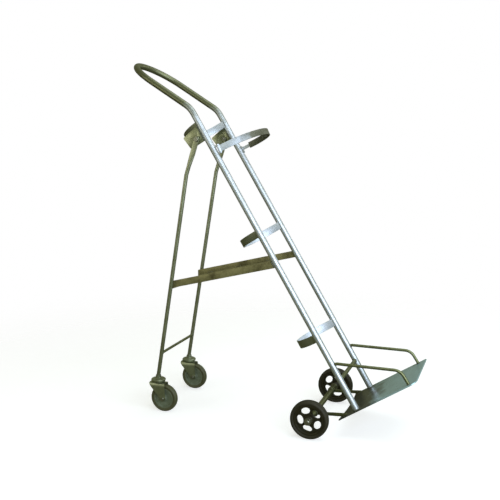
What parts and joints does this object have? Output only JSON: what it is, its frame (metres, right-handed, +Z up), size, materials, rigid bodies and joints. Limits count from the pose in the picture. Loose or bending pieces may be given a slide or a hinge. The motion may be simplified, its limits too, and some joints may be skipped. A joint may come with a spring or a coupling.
{
  "type": "gas cylinder trolley",
  "caption": "Leaning bent-tube trolley for a gas cylinder, with a toe plate, cradle rings, a hinged hoop, fixed wheels and rear legs on swivel casters.",
  "frame": {"origin": "centre of the bounding box's footprint, on the floor the wheels stand on", "axes": "+Z up, -Y the way the toe plate points, X across the trolley with the hoop's hinge on the -X rail"},
  "size_m": [0.486, 1.2039, 1.4344],
  "materials": {
    "tube_steel": "satin",
    "plate_steel": "polished",
    "pressed_steel": "satin",
    "fastener": "satin",
    "wheel_core": "matt",
    "caster_hub": "matt",
    "tyre": "matt"
  },
  "bodies": {
    "frame": {"main_tube": "tube_steel", "toe_plate": "plate_steel", "guard_rod_near": "tube_steel", "guard_rod_far": "tube_steel", "cradle_lower": "tube_steel", "cradle_middle": "tube_steel", "cradle_upper": "tube_steel", "foot_cross_tube": "tube_steel", "leg_bracket_near": "tube_steel", "leg_bracket_far": "tube_steel", "leg_near": "tube_steel", "leg_far": "tube_steel", "leg_washer_near": "fastener", "leg_washer_far": "fastener", "leg_spacer_near": "fastener", "leg_spacer_far": "fastener", "leg_bolt_near": "fastener", "leg_bolt_far": "fastener", "leg_nut_near": "fastener", "leg_nut_far": "fastener", "leg_cross_rod": "tube_steel", "brace_bar_near": "tube_steel", "brace_bar_far": "tube_steel", "brace_sheet": "plate_steel", "axle_rod": "fastener", "axle_tube": "tube_steel", "axle_washer_in_near": "fastener", "axle_washer_in_far": "fastener", "axle_washer_out_near": "fastener", "axle_washer_out_far": "fastener", "axle_nut_near": "fastener", "axle_nut_far": "fastener", "axle_strap_near": "tube_steel", "axle_strap_far": "tube_steel", "caster_head_near": "pressed_steel", "caster_head_far": "pressed_steel", "hoop_knuckle_upper": "tube_steel", "hoop_knuckle_lower": "tube_steel", "hoop_pin": "fastener", "catch_plate": "tube_steel"},
    "wheel_near": {"wheel_tyre_near": "tyre", "wheel_core_near": "wheel_core"},
    "wheel_far": {"wheel_tyre_far": "tyre", "wheel_core_far": "wheel_core"},
    "caster_near": {"caster_race_near": "pressed_steel", "caster_yoke_near": "pressed_steel", "caster_bolt_near": "fastener", "caster_nut_near": "fastener"},
    "caster_far": {"caster_race_far": "pressed_steel", "caster_yoke_far": "pressed_steel", "caster_bolt_far": "fastener", "caster_nut_far": "fastener"},
    "caster_wheel_near": {"caster_tyre_near": "tyre", "caster_hub_near": "caster_hub"},
    "caster_wheel_far": {"caster_tyre_far": "tyre", "caster_hub_far": "caster_hub"},
    "hoop": {"hoop_band": "tube_steel", "hoop_tongue": "tube_steel"}
  },
  "joints": [
    {"name": "wheel_near_spin", "type": "hinge", "parent": "frame", "child": "wheel_near", "pos_m": [-0.208, -0.215, 0.075], "axis": [1, 0, 0], "continuous": true},
    {"name": "wheel_far_spin", "type": "hinge", "parent": "frame", "child": "wheel_far", "pos_m": [0.208, -0.215, 0.075], "axis": [1, 0, 0], "continuous": true},
    {"name": "caster_near_swivel", "type": "hinge", "parent": "frame", "child": "caster_near", "pos_m": [-0.15, 0.455, 0.127], "axis": [0, 0, 1], "continuous": true},
    {"name": "caster_far_swivel", "type": "hinge", "parent": "frame", "child": "caster_far", "pos_m": [0.15, 0.455, 0.127], "axis": [0, 0, 1], "continuous": true},
    {"name": "caster_near_spin", "type": "hinge", "parent": "caster_near", "child": "caster_wheel_near", "pos_m": [-0.15, 0.428, 0.0575], "axis": [1, 0, 0], "continuous": true},
    {"name": "caster_far_spin", "type": "hinge", "parent": "caster_far", "child": "caster_wheel_far", "pos_m": [0.15, 0.428, 0.0575], "axis": [1, 0, 0], "continuous": true},
    {"name": "hoop_hinge", "type": "hinge", "parent": "frame", "child": "hoop", "pos_m": [-0.135, 0.18382, 1.08956], "axis": [0, -0.4242, -0.9056], "range_deg": [0, 130]}
  ]
}
